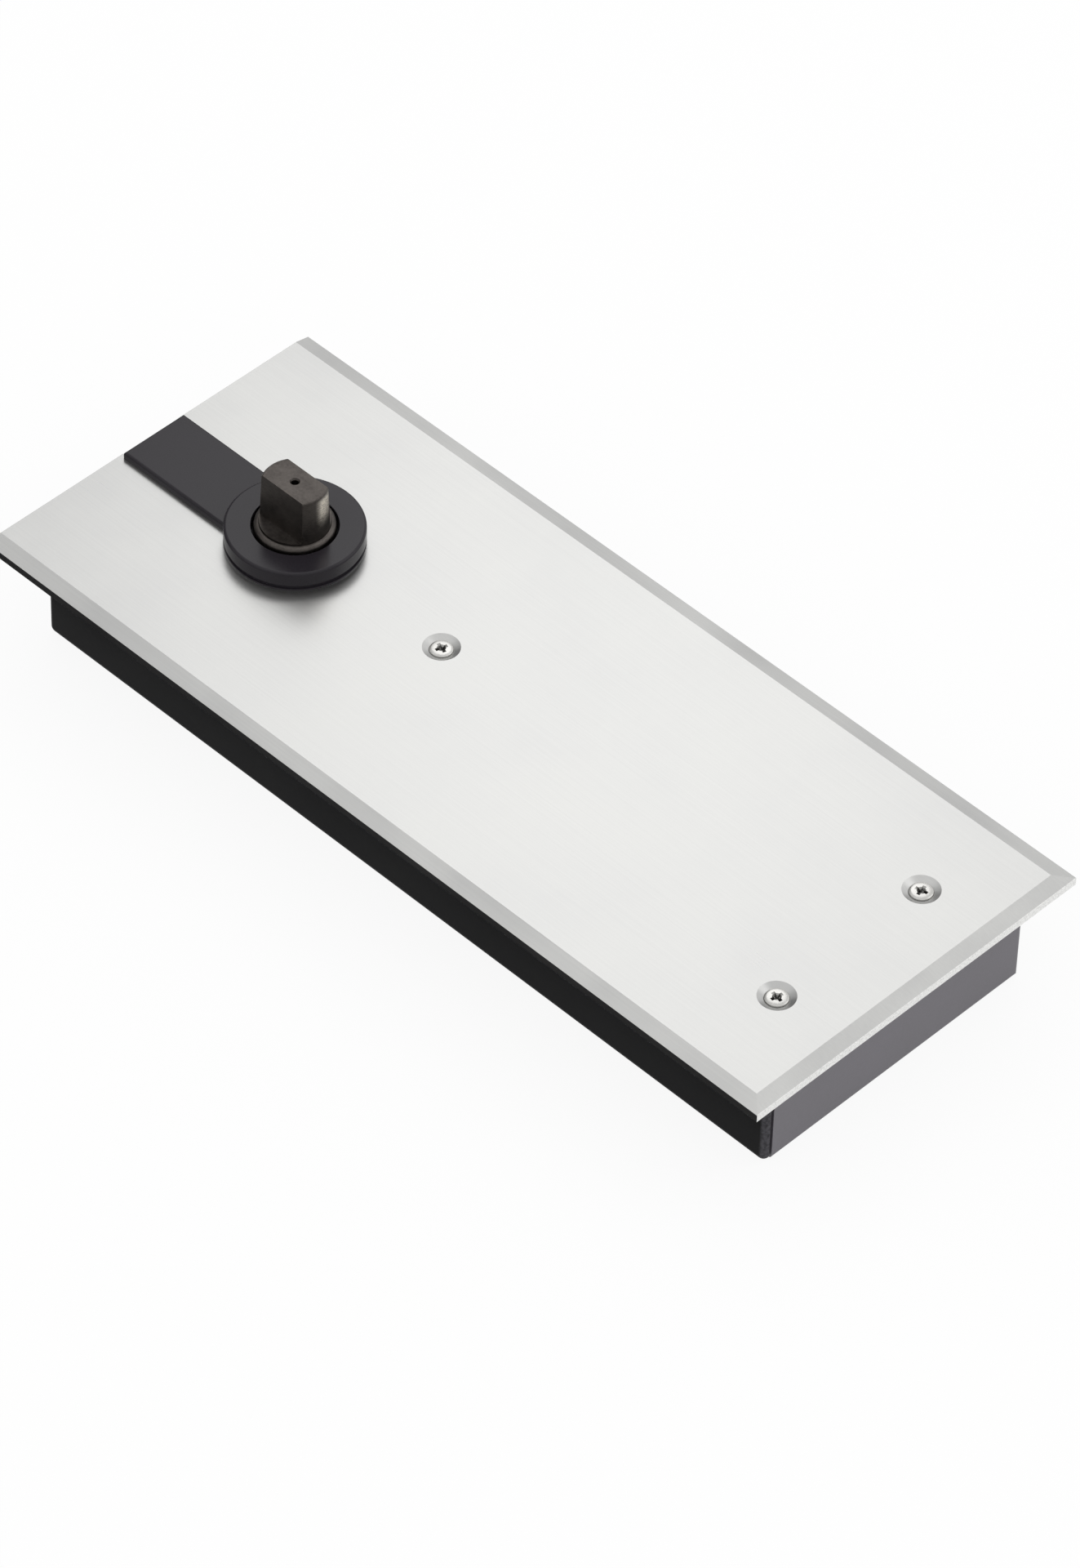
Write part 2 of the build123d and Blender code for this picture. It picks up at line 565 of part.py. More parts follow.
# Slotted plate of the carriage
def push_plate(z0):
    z1 = z0 + PUSH_PLATE
    x0 = -REAR_PITCH_R - PUSH_PLATE_R
    body = slab(x0, CROSSHEAD_X1, PUSH_PLATE_HALF, z0, z1, PUSH_PLATE_R)
    hole_r = SPINDLE_R + LOOSE_FIT
    body -= drum(hole_r, z0, z1)
    body -= drum(hole_r, z0, z1, -TRAVEL - LOOSE_FIT)
    body -= block(-TRAVEL - LOOSE_FIT, 0, -hole_r, hole_r, z0, z1)
    for x in (PITCH_R, -REAR_PITCH_R):
        body -= drum(PIN_R, z0, z1, x)
    for side in (-1, 1):
        body -= drum(RIVET_R, z0, z1, RIVET_X, side * RIVET_Y)
    return body


# Roller on its pin
def roller(x):
    z0, z1 = CAM_Z0, CAM_Z0 + CAM_THICKNESS
    body = drum(ROLLER_R, z0, z1, x)
    return body - drum(PIN_R + RUN_FIT, z0, z1, x)


# Crosshead with sockets for the three rods
def crosshead():
    low, high = AXIS_Z - PLATE_IN, AXIS_Z + PLATE_IN
    body = block(CROSSHEAD_X, CROSSHEAD_X1, -CROSSHEAD_HALF, CROSSHEAD_HALF, low, high)
    body = fillet(body.edges().filter_by(Axis.Z), CROSSHEAD_R)
    for y in (-SPRING_Y, 0, SPRING_Y):
        body -= bar(ROD_TENON_R, CROSSHEAD_X1 - ROD_SOCKET, CROSSHEAD_X1, y)
    for side in (-1, 1):
        body -= drum(RIVET_R, low, high, RIVET_X, side * RIVET_Y)
    return body


# Rivet with two flat heads
def rivet(side):
    x, y = RIVET_X, side * RIVET_Y
    low, high = AXIS_Z - PLATE_OUT, AXIS_Z + PLATE_OUT
    body = drum(RIVET_R, low, high, x, y)
    body += drum(RIVET_HEAD_R, high, high + RIVET_HEAD, x, y)
    return body + drum(RIVET_HEAD_R, low - RIVET_HEAD, low, x, y)


# Rod from the crosshead through the end wall
def rod(y):
    tenon = bar(ROD_TENON_R, CROSSHEAD_X1 - ROD_SOCKET, CROSSHEAD_X1, y)
    return tenon + bar(ROD_R, CROSSHEAD_X1, PISTON_X0, y)


# Piston with ring groove, valve bore and feed holes
def piston():
    x1 = PISTON_X0 + PISTON_LENGTH
    r = PISTON_BORE_R - RUN_FIT
    body = bar(r, PISTON_X0, x1)
    middle = PISTON_X0 + PISTON_LENGTH / 4
    body -= bar(r, middle, middle + RING_WIDTH) - bar(r - RING_DEPTH, middle, middle + RING_WIDTH)
    seat = x1 - PISTON_LENGTH / 2
    body -= bar(VALVE_BORE_R, seat, x1)
    body -= bar(VALVE_SEAT_R, PISTON_X0 + PISTON_GAP, seat)
    for side in (-1, 1):
        y = side * (ROD_R + CHANNEL_R + LOOSE_FIT)
        body -= bar(CHANNEL_R, PISTON_X0, PISTON_X0 + PISTON_GAP + CHANNEL_R, y)
    feed = PISTON_X0 + PISTON_GAP + CHANNEL_R
    reach = ROD_R + CHANNEL_R + LOOSE_FIT
    return body - cross_bar(CHANNEL_R, -reach, reach, feed)


# Piston ring in its groove
def piston_ring():
    middle = PISTON_X0 + PISTON_LENGTH / 4
    outer = bar(PISTON_BORE_R - RUN_FIT, middle, middle + RING_WIDTH)
    return outer - bar(PISTON_BORE_R - RUN_FIT - RING_DEPTH, middle, middle + RING_WIDTH)


# Ball that closes on the seat edge
def check_ball():
    seat = PISTON_X0 + PISTON_LENGTH / 2
    rise = math.sqrt(BALL_R ** 2 - VALVE_SEAT_R ** 2)
    return Pos(seat + rise, 0, AXIS_Z) * Sphere(BALL_R)


# Ring that keeps the ball in
def ball_retainer():
    x1 = PISTON_X0 + PISTON_LENGTH
    return bar(VALVE_BORE_R, x1 - RETAINER, x1) - bar(VALVE_SEAT_R, x1 - RETAINER, x1)


# Disc that passes the rod's push to the spring
def spring_follower(y):
    return bar(SPRING_BORE_R - LOOSE_FIT, PISTON_X0, SPRING_X0, y)


# Rectangular-wire spring with ground ends
def spring(y):
    length = SPRING_X1 - SPRING_X0
    pitch = length / SPRING_COILS
    mean_r = SPRING_OUT_R - SPRING_WIRE / 2
    path = Helix(pitch, length + SPRING_WIRE, mean_r)
    start = Plane(path @ 0, x_dir=(1, 0, 0), z_dir=path % 0)
    coil = sweep(start * Rectangle(SPRING_WIRE, SPRING_WIRE), path=path, is_frenet=True)
    lift = Pos(SPRING_X0 - SPRING_WIRE / 2, y, AXIS_Z)
    coil = lift * (Rot(0, 90, 0) * coil)
    room = block(SPRING_X0, SPRING_X1, y - BARREL_R, y + BARREL_R, AXIS_Z - BARREL_R, AXIS_Z + BARREL_R)
    return coil & room


# Flanged plug of a bore
def bore_plug(y):
    r = SPRING_BORE_R if y else PISTON_BORE_R
    seat = HOUSING_END + PLUG_WASHER
    body = bar(r, HOUSING_END - PLUG_LENGTH, seat, y) + bar(PLUG_FLANGE_R, seat, seat + PLUG_FLANGE, y)
    end = seat + PLUG_FLANGE
    key = Plane.YZ * RegularPolygon(PLUG_SOCKET, 6, major_radius=False)
    return body - Pos(end - PLUG_SOCKET, y, AXIS_Z) * extrude(key, PLUG_SOCKET, dir=(1, 0, 0))


# Soft sealing washer under a plug
def plug_washer(y):
    r = SPRING_BORE_R if y else PISTON_BORE_R
    x0, x1 = HOUSING_END, HOUSING_END + PLUG_WASHER
    return bar(PLUG_FLANGE_R, x0, x1, y) - bar(r, x0, x1, y)


# Needle valve screw with a slotted top
def needle_valve(side):
    y = side * CHANNEL_Y
    body = drum(NEEDLE_R, AXIS_Z + CHANNEL_R + NEEDLE_TIP, NEEDLE_TOP, NEEDLE_X, y)
    body += taper(CHANNEL_R, NEEDLE_R, AXIS_Z + CHANNEL_R, AXIS_Z + CHANNEL_R + NEEDLE_TIP, NEEDLE_X, y)
    return body - Pos(NEEDLE_X, y, NEEDLE_TOP) * Box(2 * NEEDLE_R, NEEDLE_SLOT, 2 * NEEDLE_SLOT)


# Slotted levelling screw standing on the box floor
def levelling_screw(x, y):
    body = drum(LEVEL_R, BOX_FLOOR, LEVEL_TOP, x, y)
    return body - Pos(x, y, LEVEL_TOP) * Box(2 * LEVEL_R, LEVEL_SLOT, 2 * LEVEL_SLOT)


# Stud welded to the floor, washer and nut
def stud(x, y):
    return drum(STUD_R, BOX_FLOOR, STUD_TOP, x, y)


def clamp_washer(x, y):
    return drum(WASHER_R, LUG_TOP, LUG_TOP + WASHER, x, y) - drum(STUD_R, LUG_TOP, LUG_TOP + WASHER, x, y)


def clamp_nut(x, y):
    z0 = LUG_TOP + WASHER
    body = hex_bar(NUT_FLATS, z0, z0 + NUT_HEIGHT, x, y)
    return body - drum(STUD_R, z0, z0 + NUT_HEIGHT, x, y)


# Four places at the lugs
def at_lugs(make, xs):
    return [make(x, side * LEVEL_Y) for x in xs for side in (-1, 1)]


def main():
    pieces = {
        "cement_box": [cement_box()],
        "box_end_left": [box_end(BOX_X0, 1)],
        "box_end_right": [box_end(BOX_X1, -1)],
        "cover_bracket": [cover_bracket()],
        "box_studs": at_lugs(stud, STUD_XS),
        "clamp_washers": at_lugs(clamp_washer, STUD_XS),
        "clamp_nuts": at_lugs(clamp_nut, STUD_XS),
        "levelling_screws": at_lugs(levelling_screw, LEVEL_XS),
        "cover_plate": [cover_plate()],
        "slot_filler": [slot_filler()],
        "cover_screws": [cover_screw(x, y) for x, y in COVER_SCREWS],
        "closer_housing": [closer_housing()],
        "housing_lid": [housing_lid()],
        "lid_gasket": [lid_gasket()],
        "lid_screws": [lid_screw(x, y) for x, y in LID_SCREWS],
        "upper_bearing": [ring(SPINDLE_R + RUN_FIT, UPPER_BEARING_R, LID_BOTTOM, UPPER_BEARING_TOP)],
        "lower_bearing": [ring(JOURNAL_R + RUN_FIT, LOWER_BEARING_R, LOWER_BEARING_BOTTOM,
                               LOWER_BEARING_TOP)],
        "spindle_seal": [ring(SPINDLE_R + RUN_FIT, SEAL_R, SEAL_BOTTOM, LID_BOSS_TOP)],
        "spindle": [spindle()],
        "spindle_collar": [ring(HEAD_BASE_R, COLLAR_R, COLLAR_BOTTOM, COLLAR_TOP)],
        "heart_cam": [heart_cam()],
        "cam_key": [cam_key()],
        "upper_push_plate": [push_plate(AXIS_Z + PLATE_IN)],
        "lower_push_plate": [push_plate(AXIS_Z - PLATE_OUT)],
        "front_roller": [roller(PITCH_R)],
        "rear_roller": [roller(-REAR_PITCH_R)],
        "roller_pins": [drum(PIN_R, AXIS_Z - PLATE_OUT, AXIS_Z + PLATE_OUT, x)
                        for x in (PITCH_R, -REAR_PITCH_R)],
        "crosshead": [crosshead()],
        "crosshead_rivets": [rivet(side) for side in (-1, 1)],
        "piston_rod": [rod(0)],
        "piston": [piston()],
        "piston_ring": [piston_ring()],
        "check_ball": [check_ball()],
        "ball_retainer": [ball_retainer()],
        "push_rods": [rod(side * SPRING_Y) for side in (-1, 1)],
        "spring_followers": [spring_follower(side * SPRING_Y) for side in (-1, 1)],
        "near_spring": [spring(-SPRING_Y)],
        "far_spring": [spring(SPRING_Y)],
        "spring_plugs": [bore_plug(side * SPRING_Y) for side in (-1, 1)],
        "piston_plug": [bore_plug(0)],
        "plug_washers": [plug_washer(y) for y in (-SPRING_Y, 0, SPRING_Y)],
        "closing_valve": [needle_valve(-1)],
        "latching_valve": [needle_valve(1)],
    }
    os.makedirs("parts", exist_ok=True)
    for name, solids in pieces.items():
        shape = solids[0] if len(solids) == 1 else Compound(children=solids)
        export_step(shape, os.path.join("parts", name + ".step"))


main()
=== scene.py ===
import json
import math

import bmesh
import bpy
from mathutils import Matrix, Vector


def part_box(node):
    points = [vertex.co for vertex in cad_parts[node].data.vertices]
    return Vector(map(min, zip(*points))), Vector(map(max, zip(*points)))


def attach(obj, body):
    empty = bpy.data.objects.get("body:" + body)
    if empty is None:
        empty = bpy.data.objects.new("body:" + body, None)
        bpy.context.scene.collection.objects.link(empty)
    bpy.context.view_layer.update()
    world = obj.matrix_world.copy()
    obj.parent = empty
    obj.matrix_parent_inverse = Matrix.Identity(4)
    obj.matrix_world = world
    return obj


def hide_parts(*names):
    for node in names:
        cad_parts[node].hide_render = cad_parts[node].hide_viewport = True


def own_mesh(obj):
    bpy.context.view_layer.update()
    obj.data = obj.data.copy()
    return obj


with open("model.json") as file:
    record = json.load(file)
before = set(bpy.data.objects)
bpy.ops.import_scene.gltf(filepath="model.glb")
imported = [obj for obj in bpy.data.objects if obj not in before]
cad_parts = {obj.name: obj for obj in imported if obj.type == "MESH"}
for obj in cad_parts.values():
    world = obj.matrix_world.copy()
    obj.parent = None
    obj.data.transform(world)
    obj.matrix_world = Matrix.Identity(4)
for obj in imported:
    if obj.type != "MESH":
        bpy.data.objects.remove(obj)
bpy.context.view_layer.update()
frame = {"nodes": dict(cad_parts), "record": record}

bl_info = {
    "name": "Floor spring door closer",
    "version": (1, 0, 0),
    "blender": (4, 5, 0),
    "location": "View3D > Sidebar > Floor closer",
    "description": "Dresses the packed floor spring: plate, cap, spindle, screws, springs, finishes and stage",
    "category": "Object",
}

PLATE_LOW, PLATE_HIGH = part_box("cover_plate")
CAP_LOW, CAP_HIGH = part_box("slot_filler")
SPINDLE_LOW, SPINDLE_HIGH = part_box("spindle")
COLLAR_LOW, COLLAR_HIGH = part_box("spindle_collar")
SCREW_LOW, SCREW_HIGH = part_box("cover_screws")
BOX_LOW, BOX_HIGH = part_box("cement_box")
MM = 0.001
ROUND_STEPS = 128
UP = Vector((0, 0, 1))
OVERCUT = 10 * MM
SEAM_MM = 1.35
CAMERA_LENS = 181.213
CAMERA_PLACE = (1.48613, -1.42116, 1.97791)
CAMERA_TURN = (44.4272, -1.2194, 44.9863)
# Name of each slot's material, filled in by the finishes step
SLOT_MATERIAL = {}


def length(name, description, millimetres):
    return bpy.props.FloatProperty(name=name, description=description, default=millimetres * MM, min=0.0,
                                   unit="LENGTH", subtype="DISTANCE", precision=5)


def linear(code):
    """Linear RGBA of an sRGB hex colour."""
    parts = [int(code[i:i + 2], 16) / 255 for i in (1, 3, 5)]
    return [c / 12.92 if c <= 0.04045 else ((c + 0.055) / 1.055) ** 2.4 for c in parts] + [1.0]


def colour(name, description, code):
    return bpy.props.FloatVectorProperty(name=name, description=description, subtype="COLOR", size=4,
                                         min=0.0, max=1.0, default=linear(code))


class CLOSER_PG_plate(bpy.types.PropertyGroup):
    """Sizes of the cover plate"""
    bevel_width: length("Bevel width", "Width of the bevel along both long sides and the far end", 6.3)
    bevel_drop: length("Bevel drop", "Fall of the bevel from the flat to the rim", 1.3)
    hole_radius: length("Keyhole radius", "Round part of the keyhole slot", 23.4)
    slot_width: length("Slot width", "Straight part of the keyhole slot", 27.0)
    dimple_radius: length("Dimple radius", "Outer radius of the dished ring round each screw", 7.0)
    dimple_depth: length("Dimple depth", "Depth of the dished ring", 1.2)
    edge_radius: length("Edge radius", "Rounding left by deburring", 0.25)


class CLOSER_PG_cap(bpy.types.PropertyGroup):
    """Sizes of the black keyhole cap"""
    strap_width: length("Strap width", "Width of the straight strap", 30.0)
    strap_rise: length("Strap rise", "Height of the strap above the plate", 3.0)
    strap_edge: length("Strap edge radius", "Rounding of the strap's upper edges", 1.0)
    disc_radius: length("Disc radius", "Outer radius of the raised disc", 25.95)
    disc_edge: length("Disc edge radius", "Rounding of the disc's upper edge", 1.1)
    lip_height: length("Lip height", "Height of the foot lip under the groove of the disc", 0.7)
    groove: length("Groove", "Height of the groove round the foot of the disc", 1.8)
    groove_depth: length("Groove depth", "Depth of that groove", 0.8)
    hole_radius: length("Hole radius", "Hole round the spindle collar", 16.0)
    spigot_radius: length("Spigot radius", "Part that drops into the keyhole", 23.1)
    spigot_wall: length("Spigot wall", "Wall of the spigot", 2.1)
    top_wall: length("Top wall", "Thickness of the disc's top", 3.3)
    side_gap: length("Side gap", "Play of the tongue in the slot", 0.3)


class CLOSER_PG_spindle(bpy.types.PropertyGroup):
    """Sizes of the spindle and its collar"""
    shaft_radius: length("Shaft radius", "Shaft in the bearings", 10.0)
    journal_radius: length("Journal radius", "Lower journal", 5.0)
    journal_top: length("Journal height", "Height of the journal from the spindle's foot", 5.5)
    base_radius: length("Head base radius", "Round head at the collar", 13.1)
    top_radius: length("Head top radius", "Round head at the top", 12.4)
    shoulder: length("Shoulder height", "Height of the shoulder over the floor line", 4.0)
    flat_base: length("Flat at the foot", "Half width over the flats at their foot", 7.1)
    flat_top: length("Flat at the top", "Half width over the flats at the top", 6.35)
    flat_start: length("Flat start", "Height of the flats over the collar", 0.8)
    centre_radius: length("Centre hole radius", "Turning centre in the top", 1.4)
    centre_depth: length("Centre hole depth", "Depth of the turning centre", 5.0)
    edge_radius: length("Edge radius", "Rounding of the worn edges", 0.35)
    collar_edge: length("Collar edge radius", "Rounding of the collar's outer upper edge", 1.7)


class CLOSER_PG_screws(bpy.types.PropertyGroup):
    """Sizes and places of the cover screws"""
    front_x: length("Front screw", "Place of the single screw along the plate", 75.4)
    rear_inset: length("Rear inset", "Rear screws from the plate's end", 32.8)
    rear_spread: length("Rear spread", "Rear screws from the plate's middle line", 36.2)
    head_radius: length("Head radius", "Radius of the countersunk head", 4.4)
    shank_radius: length("Shank radius", "Radius of the threaded shank", 2.5)
    crown: length("Crown", "Rise of the head's middle over its edge", 0.76)
    recess_span: length("Recess span", "Tip to tip over the cross recess", 5.2)
    recess_width: length("Recess width", "Width of a wing of the cross", 1.4)
    recess_depth: length("Recess depth", "Depth of the cross", 1.8)


class CLOSER_PG_springs(bpy.types.PropertyGroup):
    """Sizes of the closing springs"""
    wire: length("Wire", "Side of the square wire", 4.0)
    outer_radius: length("Outer radius", "Outer radius of the coil", 11.2)
    coils: bpy.props.FloatProperty(name="Coils", description="Turns along the spring", default=9.5, min=2.0)


class CLOSER_PG_finish(bpy.types.PropertyGroup):
    """Colours of the finishes that show"""
    stainless_dark: colour("Stainless, dark", "Shaded brush lines of the plate", "#b6b6b5")
    stainless_light: colour("Stainless, light", "Bright brush lines of the plate", "#cbcbc9")
    cap_dark: colour("Cap, dark", "Black coat of the cap in its pores", "#1c191e")
    cap_light: colour("Cap, light", "Black coat of the cap on its grain", "#28252a")
    box_dark: colour("Box, dark", "Black stove paint in its dimples", "#0a0a0b")
    box_light: colour("Box, light", "Black stove paint on its crests", "#131314")
    # Painted highlight: a lighter band on the rounded corners at the +X end
    box_corner_highlight: colour("Box, corner highlight", "Painted highlight on the rounded folded corners", "#4d4c50")
    end_dark: colour("End panel, dark", "Grey-black coat of the end panels", "#545157")
    end_light: colour("End panel, light", "Lighter patches of the end panels", "#636067")
    spindle_dark: colour("Spindle, dark", "Burnished oxide in the tool marks", "#423e3c")
    spindle_light: colour("Spindle, light", "Rubbed oxide of the spindle", "#68635f")
    # Painted highlight: a bright patch high on the +X round end of the spindle
    spindle_highlight: colour("Spindle, highlight", "Painted highlight on the round end", "#f4ecdf")


class CLOSER_PG_stage(bpy.types.PropertyGroup):
    """Light and floor"""
    ambient: bpy.props.FloatProperty(name="Ambient", description="Strength of the surrounding light",
                                     default=0.95, min=0.0)
    key: bpy.props.FloatProperty(name="Key", description="Power of the soft box behind the object, in watts",
                                 default=1.4, min=0.0, subtype="POWER")
    side: bpy.props.FloatProperty(name="Side",
                                  description="Power of the soft box behind the bevelled end, in watts",
                                  default=1.7, min=0.0, subtype="POWER")
    card: colour("Card", "Grey card that only reflections show, round the front of the object", "#d2d2d2")
    skirt: colour("Skirt", "Darker card that only reflections show, low at the back and to the left", "#6c6c6d")
    mat: colour("Mat", "Dark mat that only reflections show, on the floor in front", "#2c2c2d")
    floor_glow: bpy.props.FloatProperty(name="Floor glow", description="Share of plain white in the floor",
                                        default=0.9, min=0.0, max=1.0, subtype="FACTOR")


GROUPS = {
    "closer_plate": CLOSER_PG_plate,
    "closer_cap": CLOSER_PG_cap,
    "closer_spindle": CLOSER_PG_spindle,
    "closer_screws": CLOSER_PG_screws,
    "closer_springs": CLOSER_PG_springs,
    "closer_finish": CLOSER_PG_finish,
    "closer_stage": CLOSER_PG_stage,
}


def add(tree, kind, inputs=None, **settings):
    """Adds a node: settings are its own values, inputs are socket values or the sockets linked to them."""
    node = tree.nodes.new(kind)
    for key, value in settings.items():
        setattr(node, key, value)
    for key, value in (inputs or {}).items():
        if isinstance(value, bpy.types.NodeSocket):
            tree.links.new(value, node.inputs[key])
        else:
            node.inputs[key].default_value = value
    return node


def seen_ray(tree):
    """Socket that is 1 for what the camera sees straight, mirrored or through something clear."""
    ray = add(tree, "ShaderNodeLightPath").outputs
    seen = add(tree, "ShaderNodeMath", {0: ray["Is Camera Ray"], 1: ray["Is Glossy Ray"]},
               operation="MAXIMUM").outputs[0]
    return add(tree, "ShaderNodeMath", {0: seen, 1: ray["Is Transmission Ray"]}, operation="MAXIMUM").outputs[0]


def surface(name, dark, light, metallic, rough, grain, bump, mottle, lean=0.5, specular=0.5, zones=()):
    """Principled material: a fine grain sets roughness and bump, a broad mottle joins it in the colour.

    grain is the grain's length in millimetres along x, y and z, bump its height and mottle the patches' size.
    zones are (colour, [(axis, start, end), ...]): painted highlights and shade; the colour takes over from start
    to end along each axis.
    """
    material = bpy.data.materials.new(name)
    material.use_nodes = True
    tree = material.node_tree
    tree.nodes.clear()
    place = add(tree, "ShaderNodeTexCoord").outputs["Object"]
    scale = [1 / (g * MM) for g in grain]
    stretched = add(tree, "ShaderNodeMapping", {"Vector": place, "Scale": scale})
    fine = add(tree, "ShaderNodeTexNoise", {"Vector": stretched.outputs[0], "Scale": 1.0, "Detail": 5.0,
                                            "Roughness": 0.6})
    broad = add(tree, "ShaderNodeTexNoise", {"Vector": place, "Scale": 1 / (mottle * MM), "Detail": 3.0})
    both = add(tree, "ShaderNodeMix", {0: lean, 2: fine.outputs[0], 3: broad.outputs[0]})
    ramp = add(tree, "ShaderNodeValToRGB", {"Fac": both.outputs[0]})
    for stop, at, paint in zip(ramp.color_ramp.elements, (0.3, 0.7), (dark, light)):
        stop.position = at
        stop.color = paint
    tint = ramp.outputs[0]
    axes = add(tree, "ShaderNodeSeparateXYZ", {0: place}).outputs
    for other, reach in zones:
        speckle = add(tree, "ShaderNodeMapRange", {"Value": fine.outputs[0], "From Min": 0.2, "From Max": 0.6})
        share = speckle.outputs[0]
        for axis, start, end in reach:
            ease = add(tree, "ShaderNodeMapRange", {"Value": axes[axis], "From Min": start * MM,
                                                    "From Max": end * MM}, interpolation_type="SMOOTHSTEP")
            share = add(tree, "ShaderNodeMath", {0: share, 1: ease.outputs[0]}, operation="MULTIPLY").outputs[0]
        tint = add(tree, "ShaderNodeMix", {0: share, 6: tint, 7: other}, data_type="RGBA").outputs[2]
    rub = add(tree, "ShaderNodeMapRange", {"Value": both.outputs[0], "From Min": 0.3, "From Max": 0.7,
                                           "To Min": rough[0], "To Max": rough[1]})
    relief = add(tree, "ShaderNodeBump", {"Height": fine.outputs[0], "Distance": bump * MM, "Strength": 1.0})
    shader = add(tree, "ShaderNodeBsdfPrincipled", {
        "Base Color": tint, "Roughness": rub.outputs[0], "Normal": relief.outputs[0],
        "Metallic": metallic, "Specular IOR Level": specular})
    add(tree, "ShaderNodeOutputMaterial", {"Surface": shader.outputs[0]})
    return material


def finishes():
    """Every finish of the closer, by the record's slot name."""
    tone = bpy.context.scene.closer_finish
    far = BOX_HIGH.x / MM
    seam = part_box("box_end_right")[0].y / MM + SEAM_MM
    cut = PLATE_HIGH.x / MM
    crest = SCREW_HIGH.z / MM
    made = {}
    # Stainless sheet, brushed lengthwise: long faint lines and cloudy patches in a soft mirror;
    # the cut end face is painted near-white, a painted highlight of the light from that end
    # The real lines are about 0.1 mm wide and are drawn 0.7 mm wide so that they show
    made["plate_stainless"] = surface("stainless_steel_brushed", tone.stainless_dark, tone.stainless_light, 1.0,
                                      (0.27, 0.37), (60, 0.7, 0.7), 0.005, 55, lean=0.75,
                                      zones=[(linear("#f0f0ee"), [("X", cut - 0.3, cut - 0.05)])])
    # Stainless screws, cold headed and tumbled: bright, fine all-round grain; painted shade in the recess and at
    # the head's rim
    made["screw_stainless"] = surface("stainless_steel_tumbled", linear("#b6b5b2"), linear("#d0cfcc"), 1.0,
                                      (0.2, 0.32), (0.6, 0.6, 0.6), 0.01, 6,
                                      zones=[(linear("#434241"), [("Z", crest - 0.45, crest - 0.85)])])
    # Black oxide coat over pressed steel: satin, slightly purple, with a fine pored grain
    made["black_cap"] = surface("steel_black_coated_satin", tone.cap_dark, tone.cap_light, 0.0,
                                (0.17, 0.27), (0.5, 0.5, 0.5), 0.003, 25, specular=0.28)
    # Black stove paint on folded sheet: near-black, faint orange peel; painted highlight on the +X end's rounded
    # corners
    made["box_paint"] = surface("sheet_steel_black_stoved", tone.box_dark, tone.box_light, 0.0,
                                (0.35, 0.5), (1.6, 1.6, 1.6), 0.02, 40, specular=0.04,
                                zones=[(tone.box_corner_highlight, [("X", far - 2.8, far - 1.2)])])
    # Grey-black coat on the let-in end panels: smoother, with cloudy patches; near-black painted shade in the
    # seam gap on the -Y side
    made["end_paint"] = surface("sheet_steel_grey_coated", tone.end_dark, tone.end_light, 0.0,
                                (0.32, 0.45), (1.2, 1.2, 1.2), 0.015, 30,
                                zones=[(linear("#0b0b0c"), [("Y", seam, seam - 0.1)])])
    # Burnished steel with a brown oxide film: dark flats, and a bright painted highlight high on the +X round end
    made["spindle_steel"] = surface("steel_burnished_brown", tone.spindle_dark, tone.spindle_light, 1.0,
                                    (0.34, 0.5), (1.2, 1.2, 0.35), 0.012, 7,
                                    zones=[(tone.spindle_highlight, [("X", 9.0, 11.0), ("Y", -2.0, 2.0),
                                                                  ("Y", 7.5, 4.5), ("Z", 18.0, 26.0),
                                                                  ("Z", 33.6, 31.0)])])
    # Grey iron casting in primer: coarse sand-cast skin
    made["housing_iron"] = surface("cast_iron_primed", linear("#4a4b4d"), linear("#626366"), 0.0,
                                   (0.55, 0.75), (1.4, 1.4, 1.4), 0.12, 22)
    # Zinc plated steel: pale, faintly blue and patchy
    made["zinc_steel"] = surface("steel_zinc_plated", linear("#a9adb3"), linear("#cfd2d6"), 1.0,
                                 (0.28, 0.42), (0.8, 0.8, 0.8), 0.01, 5)
    # Hardened steel, ground: fine parallel grinding lines
    made["ground_steel"] = surface("steel_hardened_ground", linear("#97979a"), linear("#bcbcbe"), 1.0,
                                   (0.2, 0.32), (14, 0.4, 0.4), 0.006, 12)
    # Oil-tempered spring wire: dark blue-grey scale under an oil film
    made["spring_steel"] = surface("spring_steel_oil_tempered", linear("#3f4146"), linear("#63656b"), 0.9,
                                   (0.22, 0.4), (3, 0.7, 0.7), 0.012, 9)
    # Cast bronze, turned: warm, with fine rings
    made["bearing_bronze"] = surface("bronze_turned", linear("#9a7440"), linear("#bd9456"), 1.0,
                                     (0.24, 0.38), (5, 5, 0.4), 0.008, 6)
    # Brass rod, turned: yellow and bright, dulled by handling
    made["valve_brass"] = surface("brass_turned", linear("#b3924a"), linear("#d4b465"), 1.0,
                                  (0.22, 0.36), (4, 4, 0.4), 0.008, 4)
    # Annealed copper washers: soft red metal with dark spots
    made["washer_copper"] = surface("copper_annealed", linear("#a8623f"), linear("#cf8a63"), 1.0,
                                    (0.28, 0.45), (0.6, 0.6, 0.6), 0.01, 4)
    # Nitrile rubber, moulded: matt black with a bloom
    made["seal_rubber"] = surface("nitrile_rubber_moulded", linear("#1b1b1c"), linear("#2a2a2b"), 0.0,
                                  (0.6, 0.8), (0.5, 0.5, 0.5), 0.01, 6, specular=0.35)
    # Compressed fibre gasket: matt blue-grey with short fibres
    made["gasket"] = surface("gasket_fibre_pressed", linear("#4b545b"), linear("#6a747b"), 0.0,
                             (0.7, 0.9), (3, 0.5, 0.5), 0.02, 8, specular=0.3)
    return made


def cube(low, high):
    """A bmesh box between two corners."""
    bm = bmesh.new()
    bmesh.ops.create_cube(bm, size=1.0)
    bmesh.ops.scale(bm, vec=Vector(high) - Vector(low), verts=bm.verts)
    bmesh.ops.translate(bm, vec=(Vector(high) + Vector(low)) / 2, verts=bm.verts)
    return bm


